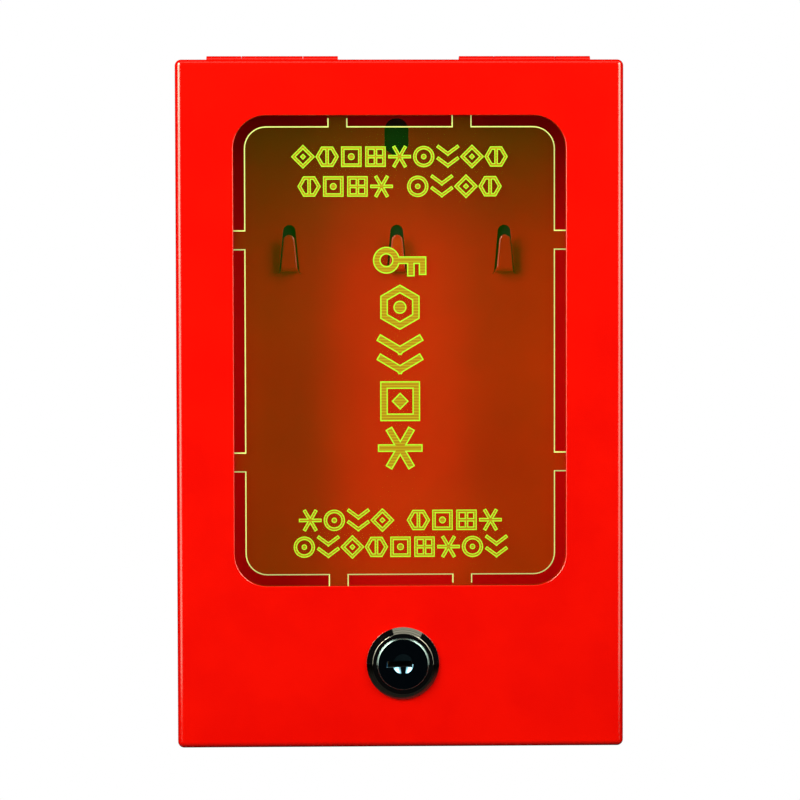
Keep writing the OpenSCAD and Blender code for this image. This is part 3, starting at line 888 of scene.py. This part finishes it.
def makeHingePin(look, side):
    low, high = cadSpan("hinge_pin_" + side)
    half = (high.x - low.x) / 2
    radius = (high.z - low.z) / 2
    soft = look["crown"]
    crown = arc((radius - soft, half - soft), soft, 0, 90, 5)
    profile = [(0, -half)] + [(r, -z) for r, z in reversed(crown)] + crown + [(0, half)]
    bm = lathe(profile, 32, False)
    bm.transform(Matrix.Translation((low + high) / 2) @ Matrix.Rotation(math.radians(90), 4, "Y"))
    piece = pieceFrom("hingePin" + side.capitalize(), bm)
    finishPiece(piece, "root", [gapShadePinSteel], ["hinge_pin_" + side])


for side in ("left", "right"):
    makeHingeLeaf(hingeLook, side, True)
    makeHingeLeaf(hingeLook, side, False)
    makeHingePin(hingeLook, side)
print("hinges rolled")


# What holds the acrylic: two rails, and a clip on a welded stud

railLook = {
    "fold": 0.75,  # middle radius of the folds
    "foldSteps": 5,
    "softEdge": 0.16,
    "weld": 1.5,  # radius of a spot weld's mark
    "weldProud": 0.14,
    "welds": 4,
    "corner": 1.6,
    "play": 0.15,  # between the acrylic and what holds it
}

studLook = {
    "play": 0.1,  # round the stud in the clip and the washer
    "pitch": 0.5,
    "deep": 0.24,  # depth of the thread
    "foot": 0.5,  # plain length at the weld
    "from": 0.8,  # thread's start, and its end below the tip
    "to": 0.6,
    "point": 0.45,
    "soft": 0.12,
    "nutPlay": 0.05,
    "nutEdge": 0.25,
}


def bentStrip(path, along, low, high, fold, steps):  # open sheet, folded at the path's inner points
    bm = bmesh.new()
    rows = []
    for level in (low, high):
        spots = [list(point) for point in path]
        for spot in spots:
            spot.insert(along, level)
        rows.append([bm.verts.new(spot) for spot in spots])
    for n in range(len(path) - 1):
        bm.faces.new((rows[0][n], rows[0][n + 1], rows[1][n + 1], rows[1][n]))
    folds = [e for e in bm.edges if len(e.link_faces) == 2]
    roundEdges(bm, folds, fold, steps)
    return bm


def spotWeld(look, centre):
    bm = bmesh.new()
    bmesh.ops.create_uvsphere(bm, u_segments=24, v_segments=10, radius=look["weld"])
    bmesh.ops.scale(bm, vec=(1, look["weldProud"] / look["weld"], 1), verts=bm.verts)
    shift(bm, centre)
    return bm


def makePanelRail(look, side):
    node = "panel_rail_" + side
    low, high = cadSpan(node)
    flip = -1 if side == "left" else 1
    if flip < 0:
        low.x, high.x = -high.x, -low.x
    half = sheet / 2
    web = panelHigh.x + look["play"] + half
    front, back = low.y + half, high.y - half
    bm = bentStrip([(high.x, front), (web, front), (web, back), (low.x, back)], 2,
                   low.z, high.z, look["fold"], look["foldSteps"])
    piece = pieceFrom("panelRail" + side.capitalize(), bm)
    thicken(piece, sheet, 0)
    breakEdges(piece, look["softEdge"], 2, 60)
    stop = block((low.x + 0.1, low.y + 0.1, low.z + 0.02), (web, high.y - 0.1, low.z + sheet))
    roundEdges(stop, list(stop.edges), look["softEdge"], 2)
    carve(piece, stop, "UNION")
    room = (high.z - low.z) / look["welds"]
    x = (web + half + high.x) / 2
    spots = [(x, low.y + sheet, low.z + room * (n + 0.5)) for n in range(look["welds"])]
    carve(piece, together([spotWeld(look, spot) for spot in spots]), "UNION")

    def place(mesh):
        bmesh.ops.scale(mesh, vec=(flip, 1, 1), verts=mesh.verts)
        bmesh.ops.recalc_face_normals(mesh, faces=mesh.faces)
    editMesh(piece, place)
    finishPiece(piece, "door", [insideShadePowder], [node])


def makePanelClip(look):
    low, high = cadSpan("panel_clip")
    studLow, studHigh = cadSpan("clip_stud")
    half = sheet / 2
    front, back = low.y + half, high.y - half
    step = panelHigh.z + look["play"] + half
    bm = bentStrip([(front, high.z), (front, step), (back, step), (back, low.z)], 0,
                   low.x, high.x, look["fold"], look["foldSteps"])
    tips = [v for v in bm.verts if abs(v.co.z - low.z) < tiny or abs(v.co.z - high.z) < tiny]
    roundEdges(bm, tips, look["corner"], 5, "VERTICES")
    piece = pieceFrom("panelClip", bm)
    thicken(piece, sheet, 0)
    wide = (studHigh.x - studLow.x) / 2 + studLook["play"]
    hole = lathe([(0, -3), (wide, -3), (wide, 3), (0, 3)], 40, False)
    hole.transform(studTurn(low.y))
    carve(piece, hole)
    breakEdges(piece, look["softEdge"], 2, 60)
    finishPiece(piece, "door", [insideShadePowder], ["panel_clip"])


def studTurn(y):  # local z points into the box, along the stud
    low, high = cadSpan("clip_stud")
    spot = Vector(((low.x + high.x) / 2, y, (low.z + high.z) / 2))
    return Matrix.Translation(spot) @ Matrix.Rotation(math.radians(-90), 4, "X")


def threads(major, minor, pitch, start, end):  # ring profile from start up to end
    points = []
    count = int((end - start) / pitch)
    for n in range(count):
        z = start + n * pitch
        points += [(minor, z), (major, z + pitch * 0.42), (major, z + pitch * 0.55)]
    points.append((minor, start + count * pitch))
    return points


def washerShape(hole, outer, thick, soft, steps, softHole=False):
    profile = [(hole, 0), (outer - soft, 0), (outer, soft), (outer, thick - soft),
               (outer - soft, thick)]
    profile += [(hole + soft, thick), (hole, thick - soft)] if softHole else [(hole, thick)]
    return lathe(profile, steps)


def hexNut(name, node, flats, height, bore, chamfer, turn):
    corner = flats / 2 / math.cos(math.radians(30))
    bm = bmesh.new()
    bmesh.ops.create_cone(bm, cap_ends=True, segments=6, radius1=corner, radius2=corner, depth=height)
    bmesh.ops.rotate(bm, matrix=Matrix.Rotation(math.radians(30), 3, "Z"), verts=bm.verts)
    shift(bm, (0, 0, height / 2))
    piece = pieceFrom(name, bm)
    face = flats / 2 * 0.96
    fall = min((corner + 1 - face) * math.tan(math.radians(30)), height * 0.4)
    carve(piece, lathe([(0, 0), (face, 0), (corner + 1, fall), (corner + 1, height - fall),
                        (face, height), (0, height)], 72, False), "INTERSECT")
    wide = bore + chamfer
    carve(piece, lathe([(0, -1), (wide, -1), (wide, 0), (bore, chamfer), (bore, height - chamfer),
                        (wide, height), (wide, height + 1), (0, height + 1)], 72, False))
    piece.data.transform(turn)
    finishPiece(piece, "door", [zincPlate], [node], 20)


def makeClipFasteners(look):
    low, high = cadSpan("clip_stud")
    radius, long = (high.x - low.x) / 2, high.y - low.y
    stud = lathe([(0, 0), (radius, 0), (radius, look["foot"])]
                 + threads(radius, radius - look["deep"], look["pitch"], look["from"], long - look["to"])
                 + [(radius - look["point"], long), (0, long)], 40, False)
    stud.transform(studTurn(low.y))
    finishPiece(pieceFrom("clipStud", stud), "door", [zincPlate], ["clip_stud"], 20)
    low, high = cadSpan("clip_washer")
    washer = washerShape(radius + look["play"], (high.x - low.x) / 2, high.y - low.y,
                         look["soft"], 64, True)
    washer.transform(studTurn(low.y))
    finishPiece(pieceFrom("clipWasher", washer), "door", [zincPlate], ["clip_washer"])
    low, high = cadSpan("clip_nut")
    hexNut("clipNut", "clip_nut", min(high.x - low.x, high.z - low.z), high.y - low.y,
           radius + look["nutPlay"], look["nutEdge"], studTurn(low.y))


makePanelRail(railLook, "left")
makePanelRail(railLook, "right")
makePanelClip(railLook)
makeClipFasteners(studLook)
print("acrylic held")


# Cam lock

camLockLook = {
    "rise": 2.2,  # bezel above the door
    "top": 8.85,  # radius where the cone meets the flat rim
    "band": 0.6,  # straight foot below the cone
    "soft": 0.15,
    "edge": 0.14,
    "bore": 6.05,
    "seat": 7.5,
    "seatDeep": 3.0,
    "thread": 9.3,
    "root": 8.85,
    "pitch": 1.0,
    "stopFrom": 30,
    "stopTo": 150,
    "stopIn": 6.15,
    "stopOut": 7.95,
    "stopDeep": 1.5,
    "groove": (14.4, 6.6),
    "teeth": 24,  # of the lock washer
    "nick": 0.56,
    "nickDeep": 0.9,
    "washerSoft": 0.12,
    "nutPlay": 0.05,
    "nutEdge": 0.4,
}

capLook = {
    "edge": 0.28,
    "sheet": 0.4,
    "dish": 5.12,  # radius of the dished middle
    "dishDeep": 0.9,
    "dishEdge": 0.12,
    "slot": (-4.6, 2.6, 1.7),  # left end, right end, height
    "slotEdge": 0.13,
}


def ringSector(inner, outer, low, high, start, end):
    bm = bmesh.new()
    turn = Matrix.Rotation(math.radians(start), 3, "Z")
    corners = [(inner, 0, low), (outer, 0, low), (outer, 0, high), (inner, 0, high)]
    face = bm.faces.new([bm.verts.new(turn @ Vector(c)) for c in corners])
    bmesh.ops.spin(bm, geom=[face], cent=(0, 0, 0), axis=(0, 0, 1),
                   angle=math.radians(end - start), steps=24, use_merge=False)
    faceOutward(bm)
    return bm


def makeLockHousing(look):
    low, high = cadSpan("lock_housing")
    base = (high.x - low.x) / 2
    deep = high.y - doorLow.y
    rise, edge = look["rise"], look["edge"]
    soft = look["soft"]
    slope = math.degrees(math.atan2(rise - look["band"], base - look["top"]))
    profile = [(look["seat"], edge - look["seatDeep"]), (look["seat"], rise - edge)]
    profile += arc((look["seat"] + edge, rise - edge), edge, 180, 90, 4)[1:]
    profile += arc((look["top"] - edge * 0.6, rise - edge), edge, 90, 90 - slope, 5)
    profile += arc((base - soft, look["band"] - soft), soft, 90 - slope, 0, 4)
    profile += [(base, 0), (look["thread"], 0)]
    screw = threads(look["thread"], look["root"], look["pitch"], 1.2, deep - 0.8)
    profile += [(r, -z) for r, z in screw]
    profile += [(look["root"], -deep), (look["bore"] + edge, -deep), (look["bore"], edge - deep),
                (look["bore"], -look["seatDeep"]), (look["seat"], -look["seatDeep"])]
    piece = pieceFrom("lockHousing", lathe(profile, 144))
    flat = lockLook["flats"] / 2
    wide = base + 1
    sides = [block((-wide, flat, -deep - 1), (wide, wide, -0.02)),
             block((-wide, -wide, -deep - 1), (wide, -flat, -0.02))]
    carve(piece, together(sides))
    grooveWide, grooveHigh = look["groove"]
    carve(piece, block((-grooveWide / 2, -grooveHigh / 2, 2 - deep),
                       (grooveWide / 2, grooveHigh / 2, -look["seatDeep"] - 0.5)))
    carve(piece, ringSector(look["stopIn"], look["stopOut"], -deep - 1, look["stopDeep"] - deep,
                            look["stopFrom"], look["stopTo"]))
    piece.data.transform(lockTurn)
    finishPiece(piece, "door", [blackChrome], ["lock_housing"], 24)


def makePlugCap(look):
    low, high = cadSpan("plug_cap")
    radius = (high.x - low.x) / 2
    face = doorLow.y - low.y
    skirt = doorLow.y - high.y
    edge, wall = look["edge"], look["sheet"]
    middle = face + look["dish"] - look["dishDeep"]
    rimAngle = math.degrees(math.acos((middle - face) / look["dish"]))

    def dishArc(extra, start, end, steps):
        return arc((0, middle), look["dish"] + extra, start - 90, end - 90, steps)
    rim = look["dish"] * math.sin(math.radians(rimAngle))
    profile = dishArc(0, 0, rimAngle - 1.2, 14)
    profile += [(rim + look["dishEdge"] * 0.4, face - 0.01), (rim + look["dishEdge"], face)]
    profile += arc((radius - edge, face - edge), edge, 90, 0, 8)
    profile += [(radius, skirt), (radius - wall, skirt), (radius - wall, face - wall - 0.2),
                (radius - wall - 0.2, face - wall)]
    inner = math.degrees(math.acos((middle - face + wall) / (look["dish"] + wall)))
    profile += list(reversed(dishArc(wall, 0, inner, 10)))
    piece = pieceFrom("plugCap", lathe(profile, 144, False))
    left, right, tall = look["slot"]
    carve(piece, block((left, -tall / 2, -1), (right, tall / 2, face + 1)))
    breakEdges(piece, look["slotEdge"], 3, 50,
               lambda p: left - 0.01 < p.x < right + 0.01 and abs(p.y) < tall / 2 + 0.01 and p.z > 1.9)

    def paint(mesh):
        for face in mesh.faces:
            spot = face.calc_center_median()
            face.material_index = 1 if math.hypot(spot.x, spot.y) > radius - 0.9 * edge else 0
    editMesh(piece, paint)
    piece.data.transform(lockTurn)
    finishPiece(piece, "lock_core", [blueChrome, wornChrome], ["plug_cap"], 24)


def makeLockFasteners(look):
    inward = Matrix.Rotation(math.radians(-90), 4, "X")
    low, high = cadSpan("lock_washer")
    outer, thick = (high.x - low.x) / 2, high.y - low.y
    hole = lockLook["hole"] / 2 + lockLook["holePlay"]
    piece = pieceFrom("lockWasher", washerShape(hole, outer, thick, look["washerSoft"], 120))
    half, teeth = look["nick"] / 2, look["teeth"]
    nicks = []
    for n in range(teeth):
        nick = block((-half, outer - look["nickDeep"], -1), (half, outer + 1, thick + 1))
        turn = Matrix.Rotation(math.tau * n / teeth, 3, "Z")
        bmesh.ops.rotate(nick, matrix=turn, verts=nick.verts)
        nicks.append(nick)
    carve(piece, together(nicks))
    piece.data.transform(Matrix.Translation((lockAt.x, low.y, lockAt.z)) @ inward)
    finishPiece(piece, "door", [zincPlate], ["lock_washer"])
    low, high = cadSpan("lock_nut")
    hexNut("lockNut", "lock_nut", min(high.x - low.x, high.z - low.z), high.y - low.y,
           look["thread"] + look["nutPlay"], look["nutEdge"],
           Matrix.Translation((lockAt.x, low.y, lockAt.z)) @ inward)


softEdges = {  # CAD pieces that only need their edges broken, and by how much
    "stopWasher": ("stop_washer", 0.1),
    "lockCam": ("lock_cam", 0.16),
    "camWasher": ("cam_washer", 0.1),
    "camScrew": ("cam_screw", 0.08),
}


def softCopy(name, node, width):
    bm = bmesh.new()
    bm.from_mesh(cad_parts[node].data)
    bmesh.ops.scale(bm, vec=(perMetre, perMetre, perMetre), verts=bm.verts)
    bmesh.ops.remove_doubles(bm, verts=bm.verts, dist=0.002)
    piece = pieceFrom(name, bm)
    breakEdges(piece, width, 2, 40)
    finishPiece(piece, "lock_core", [zincPlate], [node], 24)


makeLockHousing(camLockLook)
makePlugCap(capLook)
makeLockFasteners(camLockLook)
for name, (node, width) in softEdges.items():
    softCopy(name, node, width)
print("cam lock turned")


# Stage: floor far below, a near-black sheet just behind the box that paints the shade seen through its
# holes, studio lights and the camera

stageLook = {
    "floor": -0.45,
    "bounce": (0.015, 0.015, 0.015),  # what the floor throws back at the box; the camera sees it white
    "wallGap": 0.0004,
    "wallEdge": 2,  # how far the shade sheet stays inside the box's outline, in millimetres
    # near-black colours of the sheet: painted shade, seen by the camera through the box's holes and
    # slots
    "wall": [(0.3, (0.003, 0.003, 0.003)), (0.7, (0.005, 0.005, 0.005))],
}


def mixShaders(tree, factor, first, second):
    node = addNode(tree, "MixShader")
    tree.links.new(factor, node.inputs["Fac"])
    tree.links.new(first, node.inputs[1])
    tree.links.new(second, node.inputs[2])
    return node.outputs["Shader"]


def makeFloor(look):
    bm = bmesh.new()
    bmesh.ops.create_grid(bm, x_segments=1, y_segments=1, size=2.5)
    shift(bm, (0, 0, look["floor"]))
    piece = pieceFrom("paleFloor", bm)
    finish, tree, shader = newFinish("paleFloor", Roughness=1.0, Specular_IOR_Level=0.0)
    tinted(tree, shader, grain(tree, 3, 2), [(0.3, look["bounce"]), (0.7, look["bounce"])])
    seen = addNode(tree, "LightPath").outputs["Is Camera Ray"]
    below = addNode(tree, "NewGeometry").outputs["Backfacing"]
    white = addNode(tree, "Emission").outputs["Emission"]
    clear = addNode(tree, "BsdfTransparent").outputs["BSDF"]
    above = mixShaders(tree, seen, shader.outputs["BSDF"], white)
    surface = mixShaders(tree, below, above, clear)  # a view from under the floor looks through it
    tree.links.new(surface, tree.nodes["Material Output"].inputs["Surface"])
    piece.data.materials.append(finish)


# a near-black sheet behind the box that only the camera sees, painting the shade there; light passes
# through it
def makeShadeSheet(look):
    bm = bmesh.new()
    bmesh.ops.create_grid(bm, x_segments=1, y_segments=1, size=0.5)
    high = (bodyHigh.z - bodyLow.z - 2 * look["wallEdge"]) / perMetre
    wide = (bodyHigh.x - bodyLow.x - 2 * look["wallEdge"]) / perMetre
    bmesh.ops.scale(bm, vec=(wide, high, 1), verts=bm.verts)
    bm.transform(Matrix.Translation((0, look["wallGap"], 0)) @ Matrix.Rotation(math.radians(90), 4, "X"))
    piece = pieceFrom("paintedShadeSheet", bm)
    finish, tree, shader = newFinish("paintedShadeSheet", Roughness=1.0)
    tinted(tree, shader, grain(tree, 40, 2), look["wall"])
    behind = addNode(tree, "NewGeometry").outputs["Backfacing"]
    seen = addNode(tree, "LightPath").outputs["Is Camera Ray"]
    passes = maths(tree, "MAXIMUM", behind, maths(tree, "SUBTRACT", 1, seen))  # light passes through
    clear = addNode(tree, "BsdfTransparent").outputs["BSDF"]
    surface = mixShaders(tree, passes, shader.outputs["BSDF"], clear)
    tree.links.new(surface, tree.nodes["Material Output"].inputs["Surface"])
    piece.data.materials.append(finish)


softboxes = {"left": (-1, 1.0), "right": (1, 0.66)}  # side and share of the light
softboxReach = 0.85
lampColour = (1.0, 0.95, 0.72)
softboxLevels = [  # brighter higher up: low edge, high edge, brightness
    (-0.19, -0.08, 2.2),
    (-0.08, 0.03, 3.1),
    (0.03, 0.13, 4.7),
    (0.13, 0.27, 7.2),
    (0.27, 0.48, 10.0),
    (0.48, 0.98, 12.6),
]
softboxPanels = [  # bright middle and dimmer flanks: from and to angle, share
    (29, 55, 1.0),
    (16, 29, 0.22),
    (55, 68, 0.3),
]
topLamp = ((0.167, -0.26, 0.66), (0.167, -0.26, 0), 0.81, 0.30, 0.35)
fillLamps = {  # place, aim, width, height and brightness; no surface mirrors them
    "backFillLeft": ((-0.8, 1.0, 0.5), (0, 0, 0), 0.9, 0.9, 2.6),
    "backFillRight": ((0.8, 1.0, 0.5), (0, 0, 0), 0.9, 0.9, 2.6),
    "lowFill": ((0, 0.5, -0.42), (0, 0, -0.1), 1.0, 0.5, 2.6),
}


def addLamp(name, centre, target, wide, high, brightness):
    data = bpy.data.lights.new(name, "AREA")
    data.shape = "RECTANGLE"
    data.size = wide
    data.size_y = high
    data.energy = brightness * math.pi * wide * high
    data.color = lampColour
    lamp = bpy.data.objects.new(name, data)
    bpy.context.scene.collection.objects.link(lamp)
    lamp.visible_camera = False
    way = Vector(target) - Vector(centre)
    turn = way.to_track_quat("-Z", "Y").to_matrix().to_4x4()
    lamp.matrix_world = Matrix.Translation(centre) @ turn
    return lamp


def lightStudio():
    for name, (side, share) in softboxes.items():
        corner = Vector((side * doorHigh.x, doorLow.y, 0)) / perMetre
        for m, (start, end, part) in enumerate(softboxPanels):
            near, far = [corner + softboxReach * Vector((side * math.sin(math.radians(turn)),
                                                         -math.cos(math.radians(turn)), 0))
                         for turn in (start, end)]
            middle = (near + far) / 2
            for n, (low, high, brightness) in enumerate(softboxLevels):
                spot = Vector((middle.x, middle.y, (low + high) / 2))
                addLamp(name + "Softbox%d%d" % (m, n), spot, (corner.x, corner.y, spot.z),
                        (far - near).length, high - low, brightness * share * part)
    addLamp("topSoftbox", *topLamp)
    for name, values in fillLamps.items():
        addLamp(name, *values).visible_glossy = False


def makeWorld():
    world = bpy.data.worlds.new("studio")
    bpy.context.scene.world = world
    world.use_nodes = True
    tree = world.node_tree
    path = addNode(tree, "LightPath")

    def choose(test, otherwise, value):
        node = addNode(tree, "Mix")
        for socket, source in (("Factor", test), ("A", otherwise), ("B", value)):
            feed(tree, node.inputs[socket], source)
        return node.outputs["Result"]

    level = choose(path.outputs["Is Glossy Ray"], 0.012, 0.004)
    level = choose(path.outputs["Is Transmission Ray"], level, 1.0)
    level = choose(path.outputs["Is Camera Ray"], level, 1.0)
    back = tree.nodes["Background"]
    back.inputs["Color"].default_value = (1, 1, 1, 1)
    tree.links.new(level, back.inputs["Strength"])


cameraLook = {
    "place": (-0.0216, -0.938, 0.0367),
    "aim": (-0.00007, -0.040, 0.00134),
    "lens": 139.3,
    "roll": -0.131,
}


def addCamera(look):
    data = bpy.data.cameras.new("photoCamera")
    data.lens = look["lens"]
    data.sensor_width = 36
    data.clip_start = 0.05
    data.dof.use_dof = False
    camera = bpy.data.objects.new("photoCamera", data)
    bpy.context.scene.collection.objects.link(camera)
    way = Vector(look["aim"]) - Vector(look["place"])
    turn = way.to_track_quat("-Z", "Y").to_matrix()
    turn = turn @ Matrix.Rotation(math.radians(look["roll"]), 3, "Z")
    camera.matrix_world = Matrix.Translation(look["place"]) @ turn.to_4x4()
    bpy.context.scene.camera = camera


makeFloor(stageLook)
makeShadeSheet(stageLook)
lightStudio()
makeWorld()
addCamera(cameraLook)
bpy.context.scene.view_settings.view_transform = "Standard"
print("studio lit")

for name, finish in {"lock_plug": zincCast, "wafer_tumblers": brassStrip,
                     "wafer_springs": springWire}.items():
    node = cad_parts[name]
    node.data.materials.clear()
    node.data.materials.append(finish)
